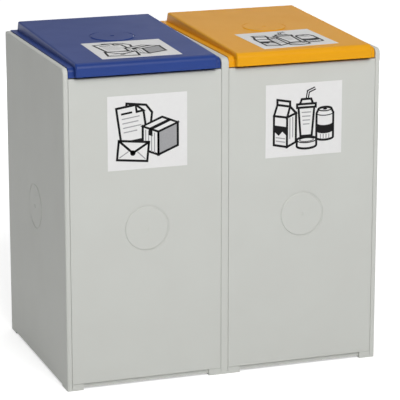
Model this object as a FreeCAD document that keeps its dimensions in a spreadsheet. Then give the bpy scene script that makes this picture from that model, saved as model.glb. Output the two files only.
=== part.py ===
import FreeCAD, Part
import os
import Sketcher

# Double recycling bin: two panel-built bins that share one partition, each with a hinged lid.
# Millimetres, +Z up, +X to the right and +Y to the back, as seen by someone standing in front.
# The origin is on the floor, at the centre of the whole object's bounding box.

document = FreeCAD.newDocument("DoubleRecyclingBin")
sheet = document.addObject("Spreadsheet::Sheet", "Sizes")

driving_sizes = (
    ("overall_width", 660, "between the outer faces of the two side panels"),
    ("body_depth", 435, "front face to back face of the panels"),
    ("upright_top", 650, "top edge of the side panels and the partition above the floor"),
    ("upright_bottom", 4, "lower edge of the uprights above the floor"),
    ("side_edge", 10, "thickness of a side panel's rim"),
    ("partition_edge", 15, "thickness of the partition's rim"),
    ("panel_wall", 3, "wall of every grey panel"),
    ("rim_depth", 14, "front and back rims of an upright, front to back"),
    ("rim_top", 25, "height of an upright's upper rim"),
    ("rim_bottom", 26, "height of an upright's lower rim"),
    ("front_corner_round", 12, "upper front corner of an upright"),
    ("back_corner_round", 5, "upper back corner of an upright"),
    ("edge_round", 3.5, "long outer edges of an upright"),
    ("fit_gap", 0.3, "gap between two panels that are put together"),
    ("ledge_drop", 21, "top of the front panel below the uprights' top"),
    ("back_drop", 30, "top of the back panel below the uprights' top"),
    ("panel_bottom", 13, "lower edge of front and back panels above the floor"),
    ("return_depth", 16, "turned-back edges of front and back panels"),
    ("ledge_round", 3, "upper front edge of the front panel"),
    ("panel_edge_round", 1.4, "other outer edges of front and back panels"),
    ("rib_wall", 2, "thickness of a stiffening rib"),
    ("panel_rib_depth", 7, "ribs behind the front and back panels"),
    ("disc_diameter", 88, "raised round disc on panels and lids"),
    ("disc_height", 1, "height of that disc"),
    ("disc_slope", 1.4, "width of the disc's sloped rim"),
    ("disc_groove_width", 3, "groove round the disc's foot"),
    ("disc_groove_depth", 0.8, "depth of that groove"),
    ("gate_diameter", 8, "moulding mark in the centre of the disc"),
    ("gate_depth", 0.8, "depth of that mark"),
    ("foot_width", 33, "foot of a base tray, left to right"),
    ("foot_length", 40, "foot of a base tray, front to back"),
    ("plinth_recess", 5, "tray's front and back walls behind the panels' faces"),
    ("tray_wall", 3, "walls and floor of a base tray"),
    ("tray_edge_height", 17, "tray's side edges above its floor"),
    ("tray_rib_depth", 3, "ribs below the tray's floor"),
    ("lid_side_gap", 1, "gap between a lid and an upright"),
    ("lid_wall", 2.5, "wall of a lid"),
    ("strip_rise", 1.5, "lid's side strips above the uprights' top"),
    ("strip_width", 12, "lid's side strips, left to right"),
    ("strip_edge_round", 1, "long edges of a lid's side strips"),
    ("raised_front", 8, "lid's raised top above the strips, at the front"),
    ("raised_back", 20, "lid's raised top above the strips, at the back"),
    ("raised_back_inset", 18, "raised top's back edge in front of the back face"),
    ("raised_foot_inset", 10, "foot of the raised top's back wall in front of the back face"),
    ("raised_round", 3.5, "side edges of the raised top and upright edges of the grip"),
    ("raised_back_round", 3, "back edge of the raised top"),
    ("grip_overhang", 12, "lid's grip in front of the front panel"),
    ("grip_rise", 5, "lower edge of the grip above the front panel"),
    ("grip_round", 12, "upper front edge of the grip and of the side strips"),
    ("apron_setback", 3, "lid's front apron behind the front panel's face"),
    ("apron_clearance", 2, "lower edge of the apron above the front panel"),
    ("lid_back_round", 3, "upper back edge of the lid's side strips"),
    ("lid_rear_gap", 0.5, "lid's back edge in front of the back face"),
    ("lid_rib_drop", 7, "lower edge of the lid's ribs below the raised top"),
    ("lid_rib_spread", 55, "lengthwise ribs from the lid's centre"),
    ("lid_rib_pitch", 125, "distance between the lid's cross ribs"),
    ("hinge_inset", 14, "hinge line in front of the back face"),
    ("hinge_drop", 13, "hinge line below the uprights' top"),
    ("pin_diameter", 6, "hinge pin"),
    ("pin_head_diameter", 10, "hinge pin's head"),
    ("pin_head_height", 2, "hinge pin's head, along the pin"),
    ("pin_depth", 6, "hinge pin's length inside the upright"),
    ("running_gap", 0.05, "radial gap round a hinge pin or in a screw hole"),
    ("blind_end_gap", 1, "depth of a blind hole beyond what goes into it"),
    ("hinge_boss_diameter", 15, "lid's boss round the hinge pin"),
    ("hinge_boss_length", 14, "lid's boss along the hinge pin"),
    ("buffer_spread", 120, "rubber buffers from the lid's centre"),
    ("buffer_gap", 0.5, "rubber buffers behind the apron's inner face"),
    ("buffer_diameter", 9, "rubber buffer"),
    ("buffer_height", 4, "rubber buffer below its boss"),
    ("buffer_stem", 4, "diameter of the rubber buffer's stem"),
    ("buffer_stem_length", 8, "rubber buffer's stem inside its boss"),
    ("rod_diameter", 6, "bag frame's rod"),
    ("bag_frame_drop", 29, "bag frame's rod below the front panel's top"),
    ("bag_frame_inset", 9, "bag frame's rod from the uprights' inner faces"),
    ("bag_frame_front_inset", 30, "bag frame's rod from the front and back faces"),
    ("bag_frame_round", 30, "bend of the bag frame at its corners"),
    ("hook_width", 12, "bag hook, front to back"),
    ("hook_height", 18, "bag hook below the rod's centre"),
    ("hook_lip", 5, "bag hook beyond the rod's centre"),
    ("hook_spread", 100, "bag hooks from the middle of the upright"),
    ("screw_diameter", 3.5, "screw's shank"),
    ("screw_head_diameter", 7, "screw's head"),
    ("screw_head_height", 2.2, "screw's head, along the screw"),
    ("screw_grip", 6, "screw's length inside the upright"),
    ("screw_hole_gap", 0.25, "radial gap where a screw passes through"),
    ("screw_end_margin", 55, "end screws from a panel's lower and upper edges"),
    ("screw_setback", 8, "screws behind the front face and in front of the back face"),
    ("tray_screw_rise", 9, "tray's screws above its floor"),
    ("tray_screw_spread", 120, "tray's screws from the middle of the upright"),
    ("label_width", 163, "label"),
    ("label_height", 148, "label"),
    ("label_thickness", 0.3, "label"),
    ("label_shift", 3, "front labels to the right of the panel's centre"),
    ("label_drop", 39, "front labels' top edge below the front panel's top"),
    ("lid_label_setback", 104, "lid label's centre behind the grip's front face"),
    ("right_lid_label_turn", 3.5, "degrees by which the right lid's label was stuck on askew"),
)

for row, (alias, number, meaning) in enumerate(driving_sizes, start=1):
    sheet.set(f"A{row}", alias)
    sheet.set(f"B{row}", str(number))
    sheet.setAlias(f"B{row}", alias)
    sheet.set(f"C{row}", meaning)
document.recompute()

# Places that follow from the sizes, as expressions on the sheet.
front_face = "(-(Sizes.body_depth + Sizes.disc_height - Sizes.grip_overhang) / 2)"
back_face = f"({front_face} + Sizes.body_depth)"
body_middle = f"({front_face} + Sizes.body_depth / 2)"
side_inner = "(Sizes.overall_width / 2 - Sizes.side_edge)"
partition_half = "(Sizes.partition_edge / 2)"
bin_centre = f"(({side_inner} + {partition_half}) / 2)"
bin_half = f"(({side_inner} - {partition_half}) / 2)"
ledge = "(Sizes.upright_top - Sizes.ledge_drop)"
back_ledge = "(Sizes.upright_top - Sizes.back_drop)"
strip_top = "(Sizes.upright_top + Sizes.strip_rise)"
lid_half = f"({bin_half} - Sizes.lid_side_gap)"
raised_half = f"({lid_half} - Sizes.strip_width)"
apron_bottom = f"({ledge} + Sizes.apron_clearance)"
apron_front = f"({front_face} + Sizes.apron_setback)"
lid_back = f"({back_face} - Sizes.lid_rear_gap)"
grip_face = f"({front_face} - Sizes.grip_overhang)"
grip_bottom = f"({ledge} + Sizes.grip_rise)"
raised_back_edge = f"({back_face} - Sizes.raised_back_inset)"
raised_fall = "(Sizes.raised_back - Sizes.raised_front)"
raised_run = f"({raised_back_edge} - {grip_face})"
hinge_y = f"({back_face} - Sizes.hinge_inset)"
hinge_z = "(Sizes.upright_top - Sizes.hinge_drop)"
rod_z = f"({ledge} - Sizes.bag_frame_drop)"
rod_x = f"({bin_half} - Sizes.bag_frame_inset)"


def value(expression):
    """The number that an expression on the sheet gives."""
    return float(sheet.evalExpression(expression))


def raised_top(place):
    """Height of the lid's sloping top above the floor, at a place from front to back."""
    share = f"(({place} - {grip_face}) / {raised_run})"
    return f"({strip_top} + Sizes.raised_front + {raised_fall} * {share})"


# Sketch plane for each axis, and whether the plane's normal runs along (1) or against (-1) it.
# A sketch across x is drawn in (y, z), one across y in (x, z) and one across z in (x, y).
planes = {"x": ("YZ_Plane", 1), "y": ("XZ_Plane", -1), "z": ("XY_Plane", 1)}


def new_body(label, centre="0"):
    """An empty body, drawn round x = 0 and standing at centre."""
    body = document.addObject("PartDesign::Body", label)
    body.Label = label
    body.setExpression("Placement.Base.x", centre)
    return body


def new_sketch(body, axis, place):
    """An empty sketch across an axis, at a place along it."""
    role, normal = planes[axis]
    sketch = body.newObject("Sketcher::SketchObject", f"{body.Name}_sketch")
    plane = [feature for feature in body.Origin.OriginFeatures if feature.Role == role][0]
    sketch.AttachmentSupport = [(plane, "")]
    sketch.MapMode = "FlatFace"
    sketch.setExpression("AttachmentOffset.Base.z", f"{normal} * ({place})")
    return sketch


def hold(sketch, geometry, point, place):
    """Ties one point of a sketch to a place, given as two expressions."""
    for kind, zero_line, expression in (("DistanceX", -2, place[0]), ("DistanceY", -1, place[1])):
        number = value(expression)
        if abs(number) < 0.000001:
            sketch.addConstraint(Sketcher.Constraint("PointOnObject", geometry, point, zero_line))
        else:
            distance = Sketcher.Constraint(kind, -1, 1, geometry, point, number)
            index = sketch.addConstraint(distance)
            sketch.setExpression(f"Constraints[{index}]", expression)


def draw_outline(sketch, corners):
    """One closed outline of straight lines. A corner is (across, up) or (across, up, radius)."""
    points = [FreeCAD.Vector(value(corner[0]), value(corner[1]), 0) for corner in corners]
    count = len(points)
    for number in range(count):
        line = Part.LineSegment(points[number], points[(number + 1) % count])
        sketch.addGeometry(line, False)
    for number in range(count):
        following = (number + 1) % count
        sketch.addConstraint(Sketcher.Constraint("Coincident", number, 2, following, 1))
    for number, corner in enumerate(corners):
        hold(sketch, number, 1, corner)
    for number, corner in enumerate(corners):
        if len(corner) == 3:
            sketch.fillet(number, 1, value(corner[2]), True, True)
            arcs = [
                index
                for index, geometry in enumerate(sketch.Geometry)
                if geometry.TypeId == "Part::GeomArcOfCircle"
            ]
            radius = Sketcher.Constraint("Radius", arcs[-1], value(corner[2]))
            index = sketch.addConstraint(radius)
            sketch.setExpression(f"Constraints[{index}]", corner[2])
    return sketch


def draw_circle(sketch, centre, radius):
    middle = FreeCAD.Vector(value(centre[0]), value(centre[1]), 0)
    circle = Part.Circle(middle, FreeCAD.Vector(0, 0, 1), value(radius))
    number = sketch.addGeometry(circle, False)
    hold(sketch, number, 3, centre)
    index = sketch.addConstraint(Sketcher.Constraint("Radius", number, value(radius)))
    sketch.setExpression(f"Constraints[{index}]", radius)
    return sketch


def box_corners(across, up):
    """The corners of a rectangle from two spans, each (from, to)."""
    return [(across[0], up[0]), (across[1], up[0]), (across[1], up[1]), (across[0], up[1])]


def pad(body, sketch, length, reverse=False):
    feature = body.newObject("PartDesign::Pad", f"{body.Name}_pad")
    feature.Profile = sketch
    feature.Reversed = reverse
    feature.setExpression("Length", length)
    document.recompute()
    return feature


def pocket(body, sketch, length, reverse=False):
    before = body.Shape.Volume
    feature = body.newObject("PartDesign::Pocket", f"{body.Name}_pocket")
    feature.Profile = sketch
    feature.Reversed = reverse
    feature.setExpression("Length", length)
    document.recompute()
    if before - body.Shape.Volume < 0.1:
        raise ValueError(f"{feature.Name} removes nothing from {body.Label}")
    return feature


def add(body, axis, span, corners):
    """Material between two places along an axis, with an outline across it."""
    sketch = draw_outline(new_sketch(body, axis, span[0]), corners)
    return pad(body, sketch, f"({span[1]}) - ({span[0]})", planes[axis][1] < 0)


def remove(body, axis, span, corners):
    sketch = draw_outline(new_sketch(body, axis, span[0]), corners)
    return pocket(body, sketch, f"({span[1]}) - ({span[0]})", planes[axis][1] > 0)


def add_round(body, axis, span, centre, radius):
    sketch = draw_circle(new_sketch(body, axis, span[0]), centre, radius)
    return pad(body, sketch, f"({span[1]}) - ({span[0]})", planes[axis][1] < 0)


def remove_round(body, axis, span, centre, radius):
    sketch = draw_circle(new_sketch(body, axis, span[0]), centre, radius)
    return pocket(body, sketch, f"({span[1]}) - ({span[0]})", planes[axis][1] > 0)


def lies_at(edge, spot):
    """True where an edge lies wholly at a spot, such as {"x": "0", "z": "Sizes.rim_top"}."""
    box = edge.BoundBox
    spans = {"x": (box.XMin, box.XMax), "y": (box.YMin, box.YMax), "z": (box.ZMin, box.ZMax)}
    near = [
        abs(limit - value(expression)) < 0.01
        for axis, expression in spot.items()
        for limit in spans[axis]
    ]
    return all(near)


def at(*spots):
    """A test that is true for edges that lie wholly at one of the spots."""

    def test(edge):
        return any(lies_at(edge, spot) for spot in spots)

    return test


def round_edges(body, radius, chosen, left_out=at()):
    """Rounds the edges for which one test is true and the other isn't."""
    base = body.Tip
    names = [
        f"Edge{index}"
        for index, edge in enumerate(base.Shape.Edges, start=1)
        if chosen(edge) and not left_out(edge)
    ]
    feature = body.newObject("PartDesign::Fillet", f"{body.Name}_fillet")
    feature.Base = (base, names)
    feature.setExpression("Radius", radius)
    document.recompute()
    return feature


def raise_disc(body, open_sketch, centre, reverse=False):
    """The raised round disc with a sloped rim and a groove round its foot.

    open_sketch gives a new sketch on the face that carries the disc.
    """
    sketch = draw_circle(open_sketch(), centre, disc_radius)
    feature = pad(body, sketch, "Sizes.disc_height", reverse)
    feature.setExpression("TaperAngle", "-atan(Sizes.disc_slope / Sizes.disc_height)")
    document.recompute()
    ring = draw_circle(open_sketch(), centre, disc_radius)
    draw_circle(ring, centre, f"({disc_radius} + Sizes.disc_groove_width)")
    pocket(body, ring, "Sizes.disc_groove_depth", reverse)


def repeat(label, source, places, centre="0"):
    """A group of copies of one small piece. A place is (x, y, z, half turns about z)."""
    copies = []
    for x, y, z, turns in places:
        copy = document.addObject("App::Link", f"{source.Name}_copy")
        copy.LinkedObject = source
        copy.Placement = FreeCAD.Placement(
            FreeCAD.Vector(0, 0, 0),
            FreeCAD.Rotation(FreeCAD.Vector(0, 0, 1), 180 * turns),
        )
        copy.setExpression("Placement.Base.x", x)
        copy.setExpression("Placement.Base.y", y)
        copy.setExpression("Placement.Base.z", z)
        copies.append(copy)
    document.recompute()
    group = document.addObject("Part::Compound", label)
    group.Label = label
    group.Links = copies
    group.setExpression("Placement.Base.x", centre)
    return group


def mirror(label, source):
    """The right-hand twin of a piece."""
    twin = document.addObject("Part::Mirroring", label)
    twin.Label = label
    twin.Source = source
    twin.Normal = FreeCAD.Vector(1, 0, 0)
    return twin


# Places of the screws that hold a panel or a tray to the uprights, as (y, z).
panel_low = "(Sizes.panel_bottom + Sizes.screw_end_margin)"
front_high = f"({ledge} - Sizes.screw_end_margin)"
back_high = f"({back_ledge} - Sizes.screw_end_margin)"
front_screw_y = f"({front_face} + Sizes.screw_setback)"
back_screw_y = f"({back_face} - Sizes.screw_setback)"
tray_screw_z = "(Sizes.panel_bottom + Sizes.tray_screw_rise)"
front_screws = [
    (front_screw_y, panel_low),
    (front_screw_y, f"(({panel_low} + {front_high}) / 2)"),
    (front_screw_y, front_high),
]
back_screws = [
    (back_screw_y, panel_low),
    (back_screw_y, f"(({panel_low} + {back_high}) / 2)"),
    (back_screw_y, back_high),
]
tray_screws = [
    (f"({body_middle} - Sizes.tray_screw_spread)", tray_screw_z),
    (f"({body_middle} + Sizes.tray_screw_spread)", tray_screw_z),
]
all_screws = front_screws + back_screws + tray_screws
shank_radius = "(Sizes.screw_diameter / 2)"
pilot_radius = "(Sizes.screw_diameter / 2 + Sizes.running_gap)"
pilot_depth = "(Sizes.screw_grip + Sizes.blind_end_gap)"
clearance_radius = "(Sizes.screw_diameter / 2 + Sizes.screw_hole_gap)"
pin_radius = "(Sizes.pin_diameter / 2)"
pin_bore_radius = "(Sizes.pin_diameter / 2 + Sizes.running_gap)"
pin_bore_depth = "(Sizes.pin_depth + Sizes.blind_end_gap)"

upright_corners = [
    (front_face, "Sizes.upright_bottom"),
    (back_face, "Sizes.upright_bottom"),
    (back_face, "Sizes.upright_top", "Sizes.back_corner_round"),
    (front_face, "Sizes.upright_top", "Sizes.front_corner_round"),
]
window_corners = box_corners(
    (f"{front_face} + Sizes.rim_depth", f"{back_face} - Sizes.rim_depth"),
    ("Sizes.upright_bottom + Sizes.rim_bottom", "Sizes.upright_top - Sizes.rim_top"),
)
upright_middle = "((Sizes.upright_bottom + Sizes.upright_top) / 2)"
disc_radius = "(Sizes.disc_diameter / 2)"


def add_bag_hooks(body, root, rod, tip):
    """Two hooks that stand in from an upright's thin wall and cradle the bag frame's rod."""
    rod_top = f"{rod_z} + Sizes.rod_diameter / 2"
    for side in ("-", "+"):
        middle = f"({body_middle} {side} Sizes.hook_spread)"
        span = (f"{middle} - Sizes.hook_width / 2", f"{middle} + Sizes.hook_width / 2")
        corners = [
            (root, f"{rod_z} - Sizes.hook_height"),
            (tip, f"{rod_z} - Sizes.rod_diameter"),
            (tip, rod_top),
            (root, rod_top),
        ]
        add(body, "y", span, corners)
        seat = "(Sizes.rod_diameter / 2 + Sizes.fit_gap)"
        remove_round(body, "y", span, (rod, rod_z), seat)
        mouth = (f"{rod} - {seat}", f"{rod} + {seat}")
        remove(body, "y", span, box_corners(mouth, (rod_z, f"{rod_top} + Sizes.fit_gap")))


def drill_upright(body, pilot_span, pin_span):
    """Blind holes for the screws and the hinge pin, from one face of an upright."""
    for place in all_screws:
        remove_round(body, "x", pilot_span, place, pilot_radius)
    remove_round(body, "x", pin_span, (hinge_y, hinge_z), pin_bore_radius)


# Left side panel: thick rim all round, thin wall between, disc outside, bag hooks inside.
outer_face = "(Sizes.overall_width / 2)"
side_panel = new_body("left_side_panel")
add(side_panel, "x", (f"-{outer_face}", f"-{side_inner}"), upright_corners)
lower_edge = at({"z": "Sizes.upright_bottom"})
round_edges(side_panel, "Sizes.edge_round", at({"x": f"-{outer_face}"}), lower_edge)
round_edges(side_panel, "Sizes.panel_edge_round", at({"x": f"-{side_inner}"}), lower_edge)
remove(
    side_panel,
    "x",
    (f"-({outer_face} - Sizes.panel_wall)", f"-{side_inner}"),
    window_corners,
)
disc_place = (body_middle, upright_middle)
raise_disc(side_panel, lambda: new_sketch(side_panel, "x", f"-{outer_face}"), disc_place, True)
disc_face = f"-({outer_face} + Sizes.disc_height)"
remove_round(
    side_panel,
    "x",
    (disc_face, f"{disc_face} + Sizes.gate_depth"),
    disc_place,
    "Sizes.gate_diameter / 2",
)
outer_rod = f"(-({bin_centre} + {rod_x}))"
add_bag_hooks(
    side_panel,
    f"(-({outer_face} - Sizes.panel_wall / 2))",
    outer_rod,
    f"({outer_rod} + Sizes.hook_lip)",
)
drill_upright(
    side_panel,
    (f"-({side_inner} + {pilot_depth})", f"-{side_inner}"),
    (f"-({side_inner} + {pin_bore_depth})", f"-{side_inner}"),
)

# Centre partition: the same rim on both sides of one thin wall.
partition = new_body("centre_partition")
add(partition, "x", (f"-{partition_half}", partition_half), upright_corners)
partition_sides = at({"x": f"-{partition_half}"}, {"x": partition_half})
round_edges(partition, "Sizes.panel_edge_round", partition_sides, lower_edge)
half_wall = "(Sizes.panel_wall / 2)"
remove(partition, "x", (f"-{partition_half}", f"-{half_wall}"), window_corners)
remove(partition, "x", (half_wall, partition_half), window_corners)
inner_rod = f"({bin_centre} - {rod_x})"
add_bag_hooks(partition, "0", f"(-{inner_rod})", f"(-{inner_rod} - Sizes.hook_lip)")
add_bag_hooks(partition, "0", inner_rod, f"({inner_rod} + Sizes.hook_lip)")
drill_upright(
    partition,
    (f"-{partition_half}", f"-({partition_half} - {pilot_depth})"),
    (f"-{partition_half}", f"-({partition_half} - {pin_bore_depth})"),
)
drill_upright(
    partition,
    (f"{partition_half} - {pilot_depth}", partition_half),
    (f"{partition_half} - {pin_bore_depth}", partition_half),
)

panel_half = f"({bin_half} - Sizes.fit_gap)"
panel_inner = f"({panel_half} - Sizes.panel_wall)"


def build_panel(label, face, inward, top, screws, top_round):
    """A front or back panel: a face, four turned-back edges, two ribs and a disc."""

    def span(near, far):
        """Two places measured inward from the face, in order along y."""
        ends = [f"({face} {inward} {near})", f"({face} {inward} {far})"]
        return ends if inward == "+" else ends[::-1]

    panel = new_body(label, f"-{bin_centre}")
    outer = box_corners((f"-{panel_half}", panel_half), ("Sizes.panel_bottom", top))
    add(panel, "y", span("0", "Sizes.return_depth"), outer)
    round_edges(panel, top_round, at({"y": face, "z": top}))
    other_edges = at(
        {"y": face, "x": f"-{panel_half}"},
        {"y": face, "x": panel_half},
        {"y": face, "z": "Sizes.panel_bottom"},
    )
    round_edges(panel, "Sizes.panel_edge_round", other_edges)
    across = (f"-{panel_inner}", panel_inner)
    inner_top = f"({top} - Sizes.panel_wall)"
    inner_bottom = "(Sizes.panel_bottom + Sizes.panel_wall)"
    inside = box_corners(across, (inner_bottom, inner_top))
    remove(panel, "y", span("Sizes.panel_wall", "Sizes.return_depth"), inside)
    for share in ("1 / 3", "2 / 3"):
        middle = f"(Sizes.panel_bottom + ({top} - Sizes.panel_bottom) * {share})"
        height = (f"{middle} - Sizes.rib_wall / 2", f"{middle} + Sizes.rib_wall / 2")
        reach = "(Sizes.panel_wall + Sizes.panel_rib_depth)"
        add(panel, "y", span("Sizes.panel_wall / 2", reach), box_corners(across, height))
    centre = ("0", f"((Sizes.panel_bottom + {top}) / 2)")
    raise_disc(panel, lambda: new_sketch(panel, "y", face), centre, inward == "-")
    gate = span("(-Sizes.disc_height)", "(Sizes.gate_depth - Sizes.disc_height)")
    remove_round(panel, "y", gate, centre, "Sizes.gate_diameter / 2")
    for place in screws:
        remove_round(panel, "x", (f"-{panel_half}", f"-{panel_inner}"), place, clearance_radius)
        remove_round(panel, "x", (panel_inner, panel_half), place, clearance_radius)
    return panel


front_panel = build_panel(
    "left_bin_front_panel", front_face, "+", ledge, front_screws, "Sizes.ledge_round"
)
back_panel = build_panel(
    "left_bin_back_panel", back_face, "-", back_ledge, back_screws, "Sizes.panel_edge_round"
)

# Base tray: floor over a recessed plinth, four corner feet that reach under the uprights.
tray = new_body("left_bin_base_tray", f"-{bin_centre}")
tray_sides = (f"-{panel_half}", panel_half)
tray_inner = f"({panel_half} - Sizes.tray_wall)"
plinth_front = f"({front_face} + Sizes.plinth_recess)"
plinth_back = f"({back_face} - Sizes.plinth_recess)"
foot_outer = f"({bin_centre} - {outer_face})"
foot_inner = f"({bin_centre} - Sizes.fit_gap / 2)"
tray_slab = ("Sizes.upright_bottom", "Sizes.panel_bottom")
add(tray, "z", tray_slab, box_corners(tray_sides, (plinth_front, plinth_back)))
remove(
    tray,
    "z",
    ("Sizes.upright_bottom", "Sizes.panel_bottom - Sizes.tray_wall"),
    box_corners(
        (f"-{tray_inner}", tray_inner),
        (f"{plinth_front} + Sizes.tray_wall", f"{plinth_back} - Sizes.tray_wall"),
    ),
)
under_floor = (
    "Sizes.panel_bottom - Sizes.tray_wall - Sizes.tray_rib_depth",
    "Sizes.panel_bottom - Sizes.tray_wall / 2",
)
half_rib = "Sizes.rib_wall / 2"
for middle in (f"(-{tray_inner} / 3)", f"({tray_inner} / 3)"):
    rib = (f"{middle} - {half_rib}", f"{middle} + {half_rib}")
    length = (f"{plinth_front} + {half_rib}", f"{plinth_back} - {half_rib}")
    add(tray, "z", under_floor, box_corners(rib, length))
cross_rib = (f"{body_middle} - {half_rib}", f"{body_middle} + {half_rib}")
add(tray, "z", under_floor, box_corners((f"-{tray_inner}", tray_inner), cross_rib))
front_foot = (front_face, f"({front_face} + Sizes.foot_length)")
back_foot = (f"({back_face} - Sizes.foot_length)", back_face)
outer_foot_end = f"({foot_outer} + Sizes.foot_width)"
inner_foot_end = f"({foot_inner} - Sizes.foot_width)"
for length in (front_foot, back_foot):
    for foot, block in (
        ((foot_outer, outer_foot_end), (f"-{panel_half}", outer_foot_end)),
        ((inner_foot_end, foot_inner), (inner_foot_end, panel_half)),
    ):
        add(tray, "z", tray_slab, box_corners(block, length))
        add(tray, "z", ("0", "Sizes.upright_bottom"), box_corners(foot, length))
outer_corners = at({"x": foot_outer, "y": front_face}, {"x": foot_outer, "y": back_face})
round_edges(tray, "Sizes.edge_round", outer_corners)
edge_length = (
    f"({front_face} + Sizes.return_depth + Sizes.fit_gap)",
    f"({back_face} - Sizes.return_depth - Sizes.fit_gap)",
)
edge_height = (
    "Sizes.panel_bottom - Sizes.tray_wall / 2",
    "(Sizes.panel_bottom + Sizes.tray_edge_height)",
)
for side in ((f"-{panel_half}", f"-{tray_inner}"), (tray_inner, panel_half)):
    add(tray, "z", edge_height, box_corners(side, edge_length))
    for place in tray_screws:
        remove_round(tray, "x", side, place, clearance_radius)

# One screw, pointing along +x, with its head's seat at x = 0.
screw = new_body("panel_screw")
screw_length = "(Sizes.panel_wall + Sizes.fit_gap + Sizes.screw_grip)"
add_round(screw, "x", ("-Sizes.screw_head_height", "0"), ("0", "0"), "Sizes.screw_head_diameter / 2")
round_edges(screw, "Sizes.screw_head_height / 2", at({"x": "-Sizes.screw_head_height"}))
add_round(screw, "x", ("0", screw_length), ("0", "0"), shank_radius)
screw_places = []
for seat, turns in ((panel_inner, 0), (f"(-{panel_inner})", 1)):
    screw_places += [(seat, y, z, turns) for y, z in front_screws + back_screws]
for seat, turns in ((tray_inner, 0), (f"(-{tray_inner})", 1)):
    screw_places += [(seat, y, z, turns) for y, z in tray_screws]
screws = repeat("left_bin_panel_screws", screw, screw_places, f"-{bin_centre}")

# Bag frame: one bent rod, closed.
bag_frame = new_body("left_bin_bag_frame", f"-{bin_centre}")
rod_front = f"({front_face} + Sizes.bag_frame_front_inset)"
rod_back = f"({back_face} - Sizes.bag_frame_front_inset)"
bend = "Sizes.bag_frame_round"
spine = draw_outline(
    new_sketch(bag_frame, "z", rod_z),
    [
        (f"(-{rod_x})", rod_front, bend),
        (rod_x, rod_front, bend),
        (rod_x, rod_back, bend),
        (f"(-{rod_x})", rod_back, bend),
    ],
)
section = draw_circle(new_sketch(bag_frame, "x", "0"), (rod_front, rod_z), "Sizes.rod_diameter / 2")
document.recompute()
ring = bag_frame.newObject("PartDesign::AdditivePipe", "bag_frame_ring")
ring.Profile = section
ring.Spine = (spine, [])
document.recompute()

# Lid: side strips, raised sloping top, grip that hangs in front of the panel, all one wall thick.
lid = new_body("left_bin_lid", f"-{bin_centre}")
strip_corners = [
    (apron_front, apron_bottom),
    (lid_back, apron_bottom),
    (lid_back, strip_top, "Sizes.lid_back_round"),
    (apron_front, strip_top, "Sizes.grip_round"),
]
add(lid, "x", (f"-{lid_half}", lid_half), strip_corners)
lid_sides = at({"x": f"-{lid_half}"}, {"x": lid_half})
round_edges(lid, "Sizes.strip_edge_round", lid_sides, at({"z": apron_bottom}))
raised_foot = f"({back_face} - Sizes.raised_foot_inset)"
inside_slab = f"({strip_top} - Sizes.lid_wall)"
raised_corners = [
    (grip_face, grip_bottom),
    (grip_face, raised_top(grip_face), "Sizes.grip_round"),
    (raised_back_edge, raised_top(raised_back_edge), "Sizes.raised_back_round"),
    (raised_foot, strip_top),
    (raised_foot, inside_slab),
    (apron_front, inside_slab),
    (apron_front, grip_bottom),
]
add(lid, "x", (f"-{raised_half}", raised_half), raised_corners)


def on_raised_side(edge):
    """True for the free edges of the raised top's and the grip's side walls."""
    centre = edge.CenterOfMass
    free = centre.z > value(strip_top) + 0.1 or centre.y < value(front_face)
    return free and (lies_at(edge, {"x": f"-{raised_half}"}) or lies_at(edge, {"x": raised_half}))


round_edges(lid, "Sizes.raised_round", on_raised_side, at({"z": grip_bottom}))
apron_inside = f"({apron_front} + Sizes.lid_wall)"
inner_round = "Sizes.grip_round - Sizes.lid_wall"
strip_inner = f"({lid_half} - Sizes.lid_wall)"
raised_inner = f"({raised_half} - Sizes.lid_wall)"
strip_hollow = [
    (apron_inside, apron_bottom),
    (f"{lid_back} - Sizes.lid_wall", apron_bottom),
    (f"{lid_back} - Sizes.lid_wall", inside_slab),
    (apron_inside, inside_slab, inner_round),
]
remove(lid, "x", (f"-{strip_inner}", strip_inner), strip_hollow)
raised_hollow = [
    (apron_inside, apron_bottom),
    (f"{raised_foot} - Sizes.lid_wall", apron_bottom),
    (f"{raised_foot} - Sizes.lid_wall", inside_slab),
    (f"{raised_back_edge} - Sizes.lid_wall", f"{raised_top(raised_back_edge)} - Sizes.lid_wall"),
    (apron_inside, f"{raised_top(apron_inside)} - Sizes.lid_wall"),
]
remove(lid, "x", (f"-{raised_inner}", raised_inner), raised_hollow)
grip_inside = f"({grip_face} + Sizes.lid_wall)"
grip_hollow = [
    (grip_inside, grip_bottom),
    (apron_front, grip_bottom),
    (apron_front, f"{raised_top(apron_front)} - Sizes.lid_wall"),
    (grip_inside, f"{raised_top(grip_inside)} - Sizes.lid_wall", inner_round),
]
remove(lid, "x", (f"-{raised_inner}", raised_inner), grip_hollow)

# Ribs below the raised top: two along it and two across it.
rib_start = f"({apron_front} + Sizes.lid_wall / 2)"
rib_end = f"({raised_back_edge} - Sizes.lid_wall / 2)"
for middle in ("-Sizes.lid_rib_spread", "Sizes.lid_rib_spread"):
    rib_corners = [
        (rib_start, f"{raised_top(rib_start)} - Sizes.lid_rib_drop"),
        (rib_end, f"{raised_top(rib_end)} - Sizes.lid_rib_drop"),
        (rib_end, f"{raised_top(rib_end)} - Sizes.lid_wall / 2"),
        (rib_start, f"{raised_top(rib_start)} - Sizes.lid_wall / 2"),
    ]
    add(lid, "x", (f"{middle} - {half_rib}", f"{middle} + {half_rib}"), rib_corners)
for side in ("-", "+"):
    middle = f"({body_middle} {side} Sizes.lid_rib_pitch / 2)"
    across = (f"-({raised_half} - Sizes.lid_wall / 2)", f"({raised_half} - Sizes.lid_wall / 2)")
    height = (
        f"{raised_top(middle)} - Sizes.lid_rib_drop",
        f"{raised_top(middle)} - Sizes.lid_wall / 2",
    )
    add(lid, "y", (f"{middle} - {half_rib}", f"{middle} + {half_rib}"), box_corners(across, height))

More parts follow.
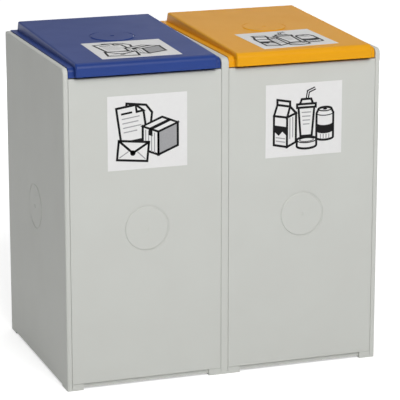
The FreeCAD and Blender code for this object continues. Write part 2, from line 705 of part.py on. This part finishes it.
# Bosses: two for the hinge pins, two for the rubber buffers.
boss_start = f"({lid_half} - Sizes.hinge_boss_length)"
for span in ((f"-{lid_half}", f"-{boss_start}"), (boss_start, lid_half)):
    add_round(lid, "x", span, (hinge_y, hinge_z), "Sizes.hinge_boss_diameter / 2")
    web = box_corners(
        (f"{hinge_y} - {half_rib}", f"{hinge_y} + {half_rib}"),
        (hinge_z, f"{strip_top} - Sizes.lid_wall / 2"),
    )
    add(lid, "x", span, web)
    remove_round(lid, "x", span, (hinge_y, hinge_z), pin_bore_radius)
buffer_y = f"({apron_inside} + Sizes.buffer_gap + Sizes.buffer_diameter / 2)"
buffer_foot = f"({ledge} + Sizes.fit_gap)"
buffer_boss = f"({buffer_foot} + Sizes.buffer_height)"
for middle in ("-Sizes.buffer_spread", "Sizes.buffer_spread"):
    top = f"{raised_top(buffer_y)} - Sizes.lid_wall / 2"
    add_round(lid, "z", (buffer_boss, top), (middle, buffer_y), "Sizes.buffer_diameter / 2")
    stem_hole = (
        buffer_boss,
        f"{buffer_boss} + Sizes.buffer_stem_length + Sizes.blind_end_gap",
    )
    stem_radius = "Sizes.buffer_stem / 2 + Sizes.running_gap"
    remove_round(lid, "z", stem_hole, (middle, buffer_y), stem_radius)


def slope_sketch(body, place, lift="0"):
    """A sketch on the raised top, with its origin at a place from front to back."""
    sketch = new_sketch(body, "z", f"{raised_top(place)} + {lift}")
    tilt = FreeCAD.Rotation(FreeCAD.Vector(1, 0, 0), 1)
    sketch.AttachmentOffset = FreeCAD.Placement(FreeCAD.Vector(0, 0, 0), tilt)
    sketch.setExpression("AttachmentOffset.Base.y", place)
    sketch.setExpression("AttachmentOffset.Rotation.Angle", f"atan({raised_fall} / {raised_run})")
    return sketch


raise_disc(lid, lambda: slope_sketch(lid, body_middle), ("0", "0"))
sketch = slope_sketch(lid, body_middle, "Sizes.disc_height")
draw_circle(sketch, ("0", "0"), "Sizes.gate_diameter / 2")
pocket(lid, sketch, "Sizes.gate_depth")

# Hinge pins: one pin pointing along +x, with its head's seat at x = 0, then the pair.
pin = new_body("hinge_pin")
pin_seat = f"({boss_start} - Sizes.fit_gap)"
pin_length = f"({bin_half} + Sizes.pin_depth - {pin_seat})"
head_radius = "Sizes.pin_head_diameter / 2"
add_round(pin, "x", ("-Sizes.pin_head_height", "0"), ("0", "0"), head_radius)
add_round(pin, "x", ("0", pin_length), ("0", "0"), pin_radius)
pin_places = [(pin_seat, hinge_y, hinge_z, 0), (f"(-{pin_seat})", hinge_y, hinge_z, 1)]
pins = repeat("left_bin_hinge_pins", pin, pin_places, f"-{bin_centre}")

# Rubber buffers: a stud with a stem, pushed up into the lid's boss.
stud = new_body("lid_buffer")
add_round(stud, "z", ("0", "Sizes.buffer_height"), ("0", "0"), "Sizes.buffer_diameter / 2")
stem_span = ("Sizes.buffer_height", "Sizes.buffer_height + Sizes.buffer_stem_length")
add_round(stud, "z", stem_span, ("0", "0"), "Sizes.buffer_stem / 2")
stud_places = [
    ("-Sizes.buffer_spread", buffer_y, buffer_foot, 0),
    ("Sizes.buffer_spread", buffer_y, buffer_foot, 0),
]
buffers = repeat("left_bin_lid_buffers", stud, stud_places, f"-{bin_centre}")

# The right bin is the left one's mirror image, apart from its labels.
twins = [
    mirror(source.Label.replace("left", "right"), source)
    for source in (
        side_panel, front_panel, back_panel, tray, screws, bag_frame, lid, pins, buffers
    )
]


def turned_corners(angle):
    """A label's corners round its middle, turned anticlockwise by an angle in degrees."""
    corners = []
    for across, up in (("-1", "-1"), ("1", "-1"), ("1", "1"), ("-1", "1")):
        half_width = f"({across} * Sizes.label_width / 2)"
        half_height = f"({up} * Sizes.label_height / 2)"
        x = f"{half_width} * cos({angle}) - {half_height} * sin({angle})"
        y = f"{half_width} * sin({angle}) + {half_height} * cos({angle})"
        corners.append((x, y))
    return corners


# Labels: thin stickers on the front panels and on the lids' raised tops.
labels = []
label_top = f"({ledge} - Sizes.label_drop)"
lid_label_y = f"({grip_face} + Sizes.lid_label_setback)"
for side, centre, angle in (
    ("left", f"(-{bin_centre})", "0"),
    ("right", bin_centre, "Sizes.right_lid_label_turn"),
):
    front_label = new_body(f"{side}_bin_front_label", centre)
    across = (
        "(Sizes.label_shift - Sizes.label_width / 2)",
        "(Sizes.label_shift + Sizes.label_width / 2)",
    )
    label_span = (f"({front_face} - Sizes.label_thickness)", front_face)
    corners = box_corners(across, (f"{label_top} - Sizes.label_height", label_top))
    add(front_label, "y", label_span, corners)
    lid_label = new_body(f"{side}_bin_lid_label", centre)
    sketch = draw_outline(slope_sketch(lid_label, lid_label_y), turned_corners(angle))
    pad(lid_label, sketch, "Sizes.label_thickness")
    labels += [front_label, lid_label]

document.recompute()
for item in document.Objects:
    if "Invalid" in item.State or "Error" in item.State:
        raise ValueError(f"{item.Name} could not be built")

pieces = [side_panel, partition, front_panel, back_panel, tray, screws, bag_frame]
pieces += [lid, pins, buffers] + twins + labels
os.makedirs("parts", exist_ok=True)
for piece in pieces:
    if piece.Shape.isNull() or not piece.Shape.isValid() or not piece.Shape.Solids:
        raise ValueError(f"{piece.Label} is not a valid solid")
    piece.Shape.exportStep(f"parts/{piece.Label}.step")
    print(piece.Label, len(piece.Shape.Solids), round(piece.Shape.Volume))
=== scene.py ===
# %% [markdown]
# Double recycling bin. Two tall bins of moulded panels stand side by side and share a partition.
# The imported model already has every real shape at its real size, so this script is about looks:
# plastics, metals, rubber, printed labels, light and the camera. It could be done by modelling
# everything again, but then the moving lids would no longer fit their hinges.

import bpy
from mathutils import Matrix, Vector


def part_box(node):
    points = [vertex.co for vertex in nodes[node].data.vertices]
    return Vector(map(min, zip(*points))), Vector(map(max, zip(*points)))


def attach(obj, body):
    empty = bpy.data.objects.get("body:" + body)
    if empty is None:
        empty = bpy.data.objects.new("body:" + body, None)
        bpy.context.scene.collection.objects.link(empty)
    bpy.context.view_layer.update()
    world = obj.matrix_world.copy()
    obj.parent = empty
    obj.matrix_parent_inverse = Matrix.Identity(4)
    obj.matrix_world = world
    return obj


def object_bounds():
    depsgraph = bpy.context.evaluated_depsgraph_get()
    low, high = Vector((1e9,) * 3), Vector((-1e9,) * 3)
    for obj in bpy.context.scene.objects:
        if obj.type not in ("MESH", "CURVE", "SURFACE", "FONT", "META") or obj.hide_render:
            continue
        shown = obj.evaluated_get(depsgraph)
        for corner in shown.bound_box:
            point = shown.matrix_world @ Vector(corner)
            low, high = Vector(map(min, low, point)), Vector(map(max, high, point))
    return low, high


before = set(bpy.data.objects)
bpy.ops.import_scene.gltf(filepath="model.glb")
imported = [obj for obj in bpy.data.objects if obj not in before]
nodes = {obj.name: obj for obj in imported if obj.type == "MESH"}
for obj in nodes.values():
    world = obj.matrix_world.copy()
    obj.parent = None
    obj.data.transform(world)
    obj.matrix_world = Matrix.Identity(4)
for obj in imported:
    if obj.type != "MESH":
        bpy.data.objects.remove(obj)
cad_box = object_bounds()
print(len(nodes), "pieces from the packed model")

# %% Libraries and the size of the object
import math

import bpy
import numpy as np
from mathutils import Vector

low, high = (np.array(corner) for corner in cad_box)
print("size in metres:", np.round(high - low, 4))

# %% [markdown]
# Colours are written as the hex values that a screen shows (sRGB). Shaders work with linear
# light, so one function turns hex into linear. Another one adds a shader node with its settings
# and links in a single call, which keeps each material short enough to read.

# %% Helpers for colours and shader nodes
MM = 0.001


def linear(hex_colour):
    """sRGB hex to linear RGBA: c / 12.92 below 0.04045, ((c + 0.055) / 1.055) ** 2.4 above."""
    channels = [int(hex_colour[i : i + 2], 16) / 255 for i in (1, 3, 5)]
    return tuple(c / 12.92 if c <= 0.04045 else ((c + 0.055) / 1.055) ** 2.4 for c in channels) + (1.0,)


def add_node(tree, kind, settings=None, inputs=None):
    """Adds one node. A socket given as an input is linked, anything else is set as its value."""
    made = tree.nodes.new(kind)
    for name, setting in (settings or {}).items():
        setattr(made, name, setting)
    for name, given in (inputs or {}).items():
        if isinstance(given, bpy.types.NodeSocket):
            tree.links.new(given, made.inputs[name])
        else:
            made.inputs[name].default_value = given
    return made


def new_material(name, **constants):
    """A material whose Principled shader has some sockets set, such as Metallic=1.0."""
    material = bpy.data.materials.new(name)
    material.use_nodes = True
    tree = material.node_tree
    shader = tree.nodes["Principled BSDF"]
    for socket, constant in constants.items():
        shader.inputs[socket.replace("_", " ")].default_value = constant
    return material, tree, shader


def worked_finish(name, tones, drift_mm, roughness, grain_mm, grain_depth_mm, grain_strength=0.35, **constants):
    """A finish with drift and grain, both fixed to the piece by its Object coordinates.

    Noise with lumps of drift_mm mixes two colours and shifts the roughness between two values.
    Noise with lumps of grain_mm is a bump of grain_depth_mm.
    """
    material, tree, shader = new_material(name, **constants)
    place = add_node(tree, "ShaderNodeTexCoord").outputs["Object"]
    drift_inputs = {"Vector": place, "Scale": 1 / (drift_mm * MM), "Detail": 3.0}
    drift = add_node(tree, "ShaderNodeTexNoise", inputs=drift_inputs).outputs["Fac"]
    dye_inputs = {"Factor": drift, "A": linear(tones[0]), "B": linear(tones[1])}
    dye = add_node(tree, "ShaderNodeMix", {"data_type": "RGBA"}, dye_inputs)
    tree.links.new(dye.outputs["Result"], shader.inputs["Base Color"])
    gloss_inputs = {"Value": drift, "To Min": roughness[0], "To Max": roughness[1]}
    gloss = add_node(tree, "ShaderNodeMapRange", inputs=gloss_inputs)
    tree.links.new(gloss.outputs["Result"], shader.inputs["Roughness"])
    grain_inputs = {"Vector": place, "Scale": 1 / (grain_mm * MM), "Detail": 2.0}
    grain = add_node(tree, "ShaderNodeTexNoise", inputs=grain_inputs).outputs["Fac"]
    relief_inputs = {"Height": grain, "Distance": grain_depth_mm * MM, "Strength": grain_strength}
    relief = add_node(tree, "ShaderNodeBump", inputs=relief_inputs)
    tree.links.new(relief.outputs["Normal"], shader.inputs["Normal"])
    return material


def give(material, *names):
    """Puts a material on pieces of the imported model."""
    for name in names:
        slots = nodes[name].data.materials
        slots.clear()
        slots.append(material)


print("white is", linear("#ffffff"), "mid grey is", linear("#808080")[0])

# %% [markdown]
# The body panels and the lids are injection-moulded polypropylene, dyed in the mass. The steel
# mould is spark-eroded, so the surface has a fine even grain that spreads highlights, and the
# melt leaves faint cloudy flow marks a hand's width across. A bump from small noise gives the
# grain, and a much larger noise shifts colour and gloss slightly. The real grain of 0.3 mm would
# vanish at this distance, so it is drawn 1.6 mm coarse.

# %% Moulded polypropylene
GRAIN_MM, GRAIN_DEPTH_MM = 1.6, 0.05
light_grey = worked_finish(
    "light_grey_moulded_polypropylene",
    ("#ced0cb", "#cacbc6"),
    90,
    (0.5, 0.58),
    GRAIN_MM,
    GRAIN_DEPTH_MM,
    IOR=1.49,
    Specular_IOR_Level=0.25,
)
blue = worked_finish(
    "blue_moulded_polypropylene",
    ("#1c3d88", "#18367c"),
    70,
    (0.36, 0.44),
    GRAIN_MM,
    GRAIN_DEPTH_MM,
    IOR=1.49,
    Specular_IOR_Level=0.35,
)
yellow = worked_finish(
    "yellow_moulded_polypropylene",
    ("#eca80e", "#e79f0a"),
    70,
    (0.34, 0.42),
    GRAIN_MM,
    GRAIN_DEPTH_MM,
    IOR=1.49,
    Specular_IOR_Level=0.22,
)
SIDES = ("left_bin_", "right_bin_")
give(light_grey, "left_side_panel", "centre_partition", "right_side_panel")
for side in SIDES:
    give(light_grey, side + "front_panel", side + "back_panel", side + "base_tray")
give(blue, "left_bin_lid")
give(yellow, "right_bin_lid")
print("plastics:", light_grey.name, blue.name, yellow.name)

# %% [markdown]
# Screws and hinge pins are zinc-plated steel: a thin bright coat whose gloss is uneven, with a
# slightly cool passivated tint. The bag frame is steel rod in black powder coat, which melts into
# a satin skin with a soft orange-peel ripple of about a millimetre.

# %% Metals
zinc = worked_finish("zinc_plated_steel", ("#c3c7ca", "#a9adb2"), 2.5, (0.24, 0.42), 0.8, 0.01, Metallic=1.0)
powder_coat = worked_finish(
    "black_powder_coated_steel", ("#1a1b1d", "#141517"), 6, (0.38, 0.5), 1.2, 0.03, 0.5, IOR=1.5
)
for side in SIDES:
    give(zinc, side + "panel_screws", side + "hinge_pins")
    give(powder_coat, side + "bag_frame")
print("metals:", zinc.name, powder_coat.name)

# %% [markdown]
# The buffers are moulded rubber, nearly matt with a dusty bloom. The labels are self-adhesive
# white vinyl film: almost smooth, with a satin gloss and the slight waviness of a film that was
# rubbed down by hand.

# %% Rubber and label film
rubber = worked_finish(
    "moulded_rubber", ("#191919", "#262524"), 3, (0.7, 0.88), 0.7, 0.02, IOR=1.52, Specular_IOR_Level=0.35
)
film = worked_finish(
    "white_vinyl_label_film", ("#e7e7e6", "#e2e1e1"), 9, (0.34, 0.44), 25, 0.05, IOR=1.46, Specular_IOR_Level=0.5
)
for side in SIDES:
    give(rubber, side + "lid_buffers")
    give(film, side + "front_label", side + "lid_label")
used = sorted({node.data.materials[0].name for node in nodes.values()})
print(len(used), "materials on", len(nodes), "pieces:", used)

# %% [markdown]
# Screen-printed ink lies on the film as a thin skin: black for outlines and grey for shading. It
# could be painted by a shader, but flat ribbons of real width stay crisp from every side and
# move with the lid as its film does.

# %% Printing inks
black_ink = worked_finish(
    "black_screen_printing_ink", ("#060607", "#101011"), 4, (0.42, 0.54), 1.5, 0.01, IOR=1.5, Specular_IOR_Level=0.15
)
grey_ink = worked_finish(
    "grey_screen_printing_ink", ("#959597", "#a8a8aa"), 3, (0.4, 0.5), 1.5, 0.01, IOR=1.5, Specular_IOR_Level=0.3
)
INKS = (film, black_ink, grey_ink)
PAPER, BLACK, GREY = range(3)
OUTLINE_MM, HATCH_MM = 4.6, 2.2
print("inks:", [ink.name for ink in INKS])

# %% [markdown]
# Every drawing is a list of marks in millimetres from the label's centre. A mark is a patch, which
# fills a closed outline, or a stroke, which carries a short straight profile along a path.


# %% Strokes and patches
SAME_POINT_MM = 1e-6
LEAST_MITRE = 0.35


def distinct(points):
    """The points as an array, without any that repeats the one before it."""
    path = np.asarray(points, dtype=float)
    moved_on = np.linalg.norm(np.diff(path, axis=0), axis=1) > SAME_POINT_MM
    return path[np.append(True, moved_on)]


def stroke(points, width=OUTLINE_MM, closed=False, ink=BLACK):
    """Each point of the path moved to both sides by half the width along its mitred normal.

    The mitred normal is (a + b) / (1 + a . b) for the normals a and b of the steps that meet. The
    divisor never falls below LEAST_MITRE, so a sharp corner doesn't shoot out.
    """
    path = distinct(points)
    if closed:
        path = np.vstack([path, path[:1]])
    steps = np.diff(path, axis=0)
    steps /= np.linalg.norm(steps, axis=1, keepdims=True)
    normals = np.stack([-steps[:, 1], steps[:, 0]], axis=1)
    before = np.vstack([normals[-1:] if closed else normals[:1], normals])
    after = np.vstack([normals, normals[:1] if closed else normals[-1:]])
    cosine = np.sum(before * after, axis=1, keepdims=True)
    offset = (before + after) / np.maximum(1 + cosine, LEAST_MITRE) * width / 2
    count = len(path)
    first = np.arange(count - 1)
    quads = np.stack([first, first + 1, first + 1 + count, first + count], axis=1)
    return np.vstack([path - offset, path + offset]), quads.tolist(), ink


def patch(points, ink=PAPER):
    """One flat face. Its outline runs anticlockwise, which the sign of its area tells."""
    outline = distinct(points)
    across, up = outline.T
    area = np.sum(across * np.roll(up, -1) - np.roll(across, -1) * up) / 2
    if area < 0:
        outline = outline[::-1]
    return outline, [list(range(len(outline)))], ink


def shape(points, ink=PAPER):
    """A filled outline with a black edge. Filled with paper, it hides what was drawn before it."""
    return [patch(points, ink), stroke(points, closed=True)]


def hatch(*lines):
    """Thin grey strokes."""
    return [stroke(line, HATCH_MM, ink=GREY) for line in lines]


def arc(centre, radii, start, end, count=25):
    """Points of an ellipse: centre + (rx cos t, ry sin t), t from start to end in degrees."""
    turn = np.radians(np.linspace(start, end, count))
    return np.array(centre) + np.stack([radii[0] * np.cos(turn), radii[1] * np.sin(turn)], axis=1)


def placed(points, degrees, centre):
    """Points turned anticlockwise about the origin, which then moves to a centre."""
    cosine, sine = math.cos(math.radians(degrees)), math.sin(math.radians(degrees))
    return np.asarray(points, dtype=float) @ np.array([[cosine, sine], [-sine, cosine]]) + np.array(centre)


print("a closed square stroke has", len(stroke([(0, 0), (9, 0), (9, 9), (0, 9)], closed=True)[1]), "faces")

# %% [markdown]
# The blue bin takes paper and board. Its sign shows sheets with a folded corner, a carton closed
# with tape, and an envelope with a round seal.

# %% Drawing for the paper bin
sheet = [(-27, -35), (27, -35), (27, 21), (13, 35), (-27, 35)]
folded_corner = [(13, 35), (13, 21), (27, 21)]
sheet_turn, sheet_centre = 8, (-32, 18)
paper_sign = shape(placed(sheet, -7, (-20, 20)))
paper_sign += shape(placed(sheet, sheet_turn, sheet_centre))
paper_sign += shape(placed(folded_corner, sheet_turn, sheet_centre))
paper_sign.append(stroke(placed([(-19, 22), (4, 22)], sheet_turn, sheet_centre), 4.0))
row_ends = (18, 14, 18, 9)
rows = [[(-19, 12 - 9 * row), (end, 12 - 9 * row)] for row, end in enumerate(row_ends)]
paper_sign += hatch(*[placed(row, sheet_turn, sheet_centre) for row in rows])

front, left, right, rear = (22, -2), (-10, 11), (62, 14), (30, 27)
carton_drop = np.array((0, -46))
paper_sign += shape([left, front, front + carton_drop, left + carton_drop])
paper_sign += shape([front, right, right + carton_drop, front + carton_drop], GREY)
paper_sign += shape([left, front, right, rear])
tape_half = np.array((4.0, -1.6))
tape_start, tape_end = np.array((6, 4.5)), np.array((46, 20.5))
paper_sign.append(
    patch([tape_start - tape_half, tape_start + tape_half, tape_end + tape_half, tape_end - tape_half], BLACK)
)
paper_sign.append(
    patch([tape_start - tape_half, tape_start + tape_half, tape_start + (4, -15), tape_start + (-4, -12)], BLACK)
)
carton_hatch = [(x, 0.4 * (5 - x)) for x in (-4, 2, 8, 14)]
paper_sign += hatch(*[[(x, y), (x, y - 40)] for x, y in carton_hatch])

envelope = [(-31, -19), (31, -19), (31, 19), (-31, 19)]
flap = [(-31, 19), (0, -4), (31, 19)]
creases = [(-27, -15), (-9, -1)], [(27, -15), (9, -1)]
envelope_turn, envelope_centre = -6, (-30, -37)
paper_sign += shape(placed(envelope, envelope_turn, envelope_centre))
paper_sign.append(stroke(placed(flap, envelope_turn, envelope_centre)))
paper_sign += hatch(*[placed(crease, envelope_turn, envelope_centre) for crease in creases])
paper_sign.append(patch(arc((-30.4, -41), (5.5, 5.5), 0, 345), BLACK))
print("paper sign:", len(paper_sign), "marks")

# %% [markdown]
# The yellow bin takes packaging. Its sign shows a gable-top drink carton, a cup with a straw, a
# drink can and a flat food tin. A can is a polygon: the lower half of its bottom ellipse, its
# sides, and the upper half of its top ellipse.


# %% Drawing for the packaging bin
def drum(centre, radii, height, neck=0.0, shoulder=0.0):
    """A standing can above the centre of its bottom: its body and the front edge of its top."""
    x, y = centre
    top = y + height
    top_radii = (radii[0] - neck, radii[1] * (1 - neck / radii[0]))
    outline = np.vstack(
        [
            arc((x, y), radii, 180, 360),
            [(x + radii[0], top)],
            arc((x, top + shoulder), top_radii, 0, 180),
            [(x - radii[0], top)],
        ]
    )
    return shape(outline) + [stroke(arc((x, top + shoulder), top_radii, 180, 360), 2.4)]


# The cup: straw, body, top and rim of its lid, lines on its body.
straw = [(6, 38), (9, 56), (24, 62)]
packaging_sign = [stroke(straw, 7.0), stroke(straw, 1.8, ink=PAPER)]
packaging_sign += shape([(-7, -34), (17, -34), (22, 25), (-12, 25)])
packaging_sign += shape([(-9, 31), (19, 31), (15, 41), (-5, 41)])
packaging_sign += shape([(-15, 24), (25, 24), (25, 31), (-15, 31)])
packaging_sign += hatch(*[[(-5 + k, 14 - 8 * k), (15 - k, 14 - 8 * k)] for k in range(4)])

# The drink carton: front, side, slope, gable and fin, then its print.
packaging_sign += shape([(-64, -48), (-36, -54), (-36, 6), (-64, 11)])
packaging_sign += shape([(-36, -54), (-17, -45), (-17, 14), (-36, 6)])
packaging_sign += shape([(-64, 11), (-36, 6), (-30, 28), (-57, 33)])
packaging_sign += shape([(-36, 6), (-17, 14), (-30, 28)])
packaging_sign += shape([(-57, 33), (-30, 28), (-30, 38), (-57, 43)])
packaging_sign.append(patch([(-62, -8), (-38, -13), (-38, -30), (-46, -22), (-54, -30), (-62, -22)], BLACK))
packaging_sign += hatch(*[[(-60, -y), (-40, -y - 4)] for y in (33, 40)])
side_hatch = [(x, -40 + 0.4 * (x + 36)) for x in (-30, -24)]
packaging_sign += hatch(*[[(x, y), (x, y + 42)] for x, y in side_hatch])

# The can with a band, its opening and lines, and the flat tin.
packaging_sign += drum((45, -40), (18, 5), 50, neck=4, shoulder=8)
packaging_sign.append(stroke(arc((45, 10), (18, 5), 180, 360), 2.0))
band = np.vstack([arc((45, -10), (16.5, 5), 180, 360), arc((45, -27), (16.5, 5), 360, 180)])
packaging_sign.append(patch(band, BLACK))
packaging_sign.append(patch(arc((45, 18), (5, 1.6), 0, 345), BLACK))
packaging_sign += hatch(*[[(x, -33), (x, -42)] for x in (36, 42, 48, 54)])
packaging_sign += drum((6, -54), (21, 6), 12)
packaging_sign.append(stroke(arc((6, -42), (15, 3.6), 0, 360), 1.6))
print("packaging sign:", len(packaging_sign), "marks")

# %% [markdown]
# A label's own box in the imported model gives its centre. Two directions along the label, across
# and up, carry the flat drawing into space. A paper-white mark hides what was drawn before it,
# so it starts a new layer, 0.024 mm higher. In a layer grey lies over paper, and black over grey.


# %% Put the drawings on the labels
def printed(name, label, body, marks, up, turn=0.0):
    """Point (a, b) of a drawing lies at centre + a * across + b * up + lift * outward."""
    centre = np.mean(np.array(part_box(label)), axis=0)
    across, up = np.array((1.0, 0.0, 0.0)), np.array(up) / np.linalg.norm(up)
    outward = np.cross(across, up)
    film_half_mm, gap_mm, step_mm = 0.15, 0.03, 0.008
    heights = {PAPER: 0, GREY: 1, BLACK: 2}
    corners, faces, inks, count, layer = [], [], [], 0, 0
    for points, rings, ink in marks:
        layer += ink == PAPER
        flat = placed(points, turn, (0, 0)) * MM
        lift = (film_half_mm + gap_mm + step_mm * (len(heights) * layer + heights[ink])) * MM
        corners.append(centre + flat[:, :1] * across + flat[:, 1:] * up + lift * outward)
        faces += [[count + corner for corner in ring] for ring in rings]
        inks += [ink] * len(rings)
        count += len(points)
    mesh = bpy.data.meshes.new(name)
    mesh.from_pydata(np.vstack(corners).tolist(), [], faces)
    for ink in INKS:
        mesh.materials.append(ink)
    mesh.polygons.foreach_set("material_index", inks)
    mesh.update()
    piece = bpy.data.objects.new(name, mesh)
    bpy.context.scene.collection.objects.link(piece)
    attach(piece, body)
    print(name, len(mesh.polygons), "faces")


# The lids' tops rise 12 mm over 429 mm. The yellow lid's label was stuck on 3.5 degrees askew.
SLOPE_UP = (0.0, 429.0, 12.0)
printed("left_bin_front_label_print", "left_bin_front_label", "bins", paper_sign, (0, 0, 1))
printed("right_bin_front_label_print", "right_bin_front_label", "bins", packaging_sign, (0, 0, 1))
printed("left_bin_lid_label_print", "left_bin_lid_label", "left_lid", paper_sign, SLOPE_UP)
printed("right_bin_lid_label_print", "right_bin_lid_label", "right_lid", packaging_sign, SLOPE_UP, 3.5)

# %% [markdown]
# Camera. The photograph was taken from the left and above, with upright edges kept upright. A
# long lens a few metres away gives nearly the same picture without shifting the lens, which
# would push the object out of the frame in every other view.

# %% Camera at the photograph's viewing angle
PHOTO_WIDTH = 400
focal_pixels, turn_degrees, pitch_degrees = 2228.0, -19.4, 14.63
camera_place = (-1.4683, -4.2321, 1.4812)
camera_data = bpy.data.cameras.new("photo_camera")
camera_data.sensor_width = 36.0
camera_data.lens = focal_pixels * camera_data.sensor_width / PHOTO_WIDTH
camera = bpy.data.objects.new("photo_camera", camera_data)
camera.location = camera_place
camera.rotation_euler = (math.radians(90 - pitch_degrees), 0, math.radians(turn_degrees))
bpy.context.scene.collection.objects.link(camera)
bpy.context.scene.camera = camera
print("lens", round(camera_data.lens, 1), "mm")

# %% [markdown]
# Stage. A white floor and a white world, as on a studio sweep. Where the camera or a glossy or
# clear surface looks at them they glow up to plain white. That glow doesn't light the object, so
# its shadow stays on the floor. For all other rays the world is a dim sky, brighter overhead, which
# fills the shadows. The backdrop darkens above the horizon, so flat lids keep their colour.


# %% Floor and world
def seen_directly(tree):
    """1 for camera, glossy and transmission rays, 0 for diffuse and shadow rays."""
    rays = add_node(tree, "ShaderNodeLightPath").outputs
    most = {"operation": "MAXIMUM"}
    seen = add_node(tree, "ShaderNodeMath", most)
    tree.links.new(rays["Is Camera Ray"], seen.inputs[0])
    tree.links.new(rays["Is Glossy Ray"], seen.inputs[1])
    either = add_node(tree, "ShaderNodeMath", most)
    tree.links.new(seen.outputs[0], either.inputs[0])
    tree.links.new(rays["Is Transmission Ray"], either.inputs[1])
    return either.outputs[0]


floor_reach = 12.0
NEAR_GLOW, FAR_GLOW = 0.5, 0.68
floor_mesh = bpy.data.meshes.new("studio_floor")
floor_corners = [(x * floor_reach, y * floor_reach, 0) for x, y in ((-1, -1), (1, -1), (1, 1), (-1, 1))]
floor_mesh.from_pydata(floor_corners, [], [(0, 1, 2, 3)])
floor = bpy.data.objects.new("studio_floor", floor_mesh)
bpy.context.scene.collection.objects.link(floor)
floor_paint, tree, shader = new_material("matt_white_floor_paint", Roughness=0.9, Specular_IOR_Level=0.0)
shader.inputs["Base Color"].default_value = linear("#f0f0f0")
shader.inputs["Emission Color"].default_value = (1, 1, 1, 1)
place = add_node(tree, "ShaderNodeTexCoord").outputs["Object"]
distance = add_node(tree, "ShaderNodeVectorMath", {"operation": "LENGTH"}, {0: place}).outputs["Value"]
spread_inputs = {"Value": distance, "From Min": 0.8, "From Max": 3.0, "To Min": NEAR_GLOW, "To Max": FAR_GLOW}
spread = add_node(tree, "ShaderNodeMapRange", inputs=spread_inputs).outputs["Result"]
glow = add_node(tree, "ShaderNodeMath", {"operation": "MULTIPLY"}, {0: spread, 1: seen_directly(tree)})
tree.links.new(glow.outputs["Value"], shader.inputs["Emission Strength"])
floor_mesh.materials.append(floor_paint)

world = bpy.data.worlds.new("studio_world")
bpy.context.scene.world = world
world.use_nodes = True
tree = world.node_tree
direction = add_node(tree, "ShaderNodeTexCoord").outputs["Generated"]
height = add_node(tree, "ShaderNodeSeparateXYZ", inputs={"Vector": direction}).outputs["Z"]
ceiling_inputs = {"Value": height, "From Min": 0.0, "From Max": 0.6, "To Min": 0.14, "To Max": 0.4}
ceiling = add_node(tree, "ShaderNodeMapRange", inputs=ceiling_inputs).outputs["Result"]
backdrop_inputs = {"Value": height, "From Min": 0.08, "From Max": 0.2, "To Min": 1.0, "To Max": 0.3}
backdrop = add_node(tree, "ShaderNodeMapRange", inputs=backdrop_inputs).outputs["Result"]
level_inputs = {"Factor": seen_directly(tree), "A": ceiling, "B": backdrop}
strength = add_node(tree, "ShaderNodeMix", {"data_type": "FLOAT"}, level_inputs)
background = tree.nodes["Background"]
background.inputs["Color"].default_value = (1, 1, 1, 1)
tree.links.new(strength.outputs["Result"], background.inputs["Strength"])
print("floor and world are white where they are seen")

# %% [markdown]
# The key light is a large softbox in front of the bin, about 38 degrees up. It makes the front the
# brightest side, leaves the lids a little darker and the left side in shade, and draws the soft
# shadow under the lids' grips. A weak softbox overhead keeps the lids from going dull. Another
# one stands low behind the bin and lights its back without a strong sheen across the lids.


# %% Softboxes
def softbox(name, place, aim, size, power):
    """A square area lamp at a place, turned to face a point, in metres and watts."""
    data = bpy.data.lights.new(name, "AREA")
    data.shape = "SQUARE"
    data.size = size
    data.energy = power
    lamp = bpy.data.objects.new(name, data)
    lamp.location = place
    lamp.rotation_euler = (Vector(aim) - Vector(place)).to_track_quat("-Z", "Y").to_euler()
    bpy.context.scene.collection.objects.link(lamp)


softbox("key_softbox", place=(-0.2, -2.9, 2.65), aim=(0, 0, 0.4), size=1.7, power=77)
softbox("top_softbox", place=(0.3, 1.3, 2.9), aim=(0, 0, 0.3), size=2.0, power=8)
softbox("back_softbox", place=(1.2, 2.9, 0.45), aim=(0, 0, 0.3), size=0.8, power=20)
bpy.context.scene.view_settings.view_transform = "Standard"
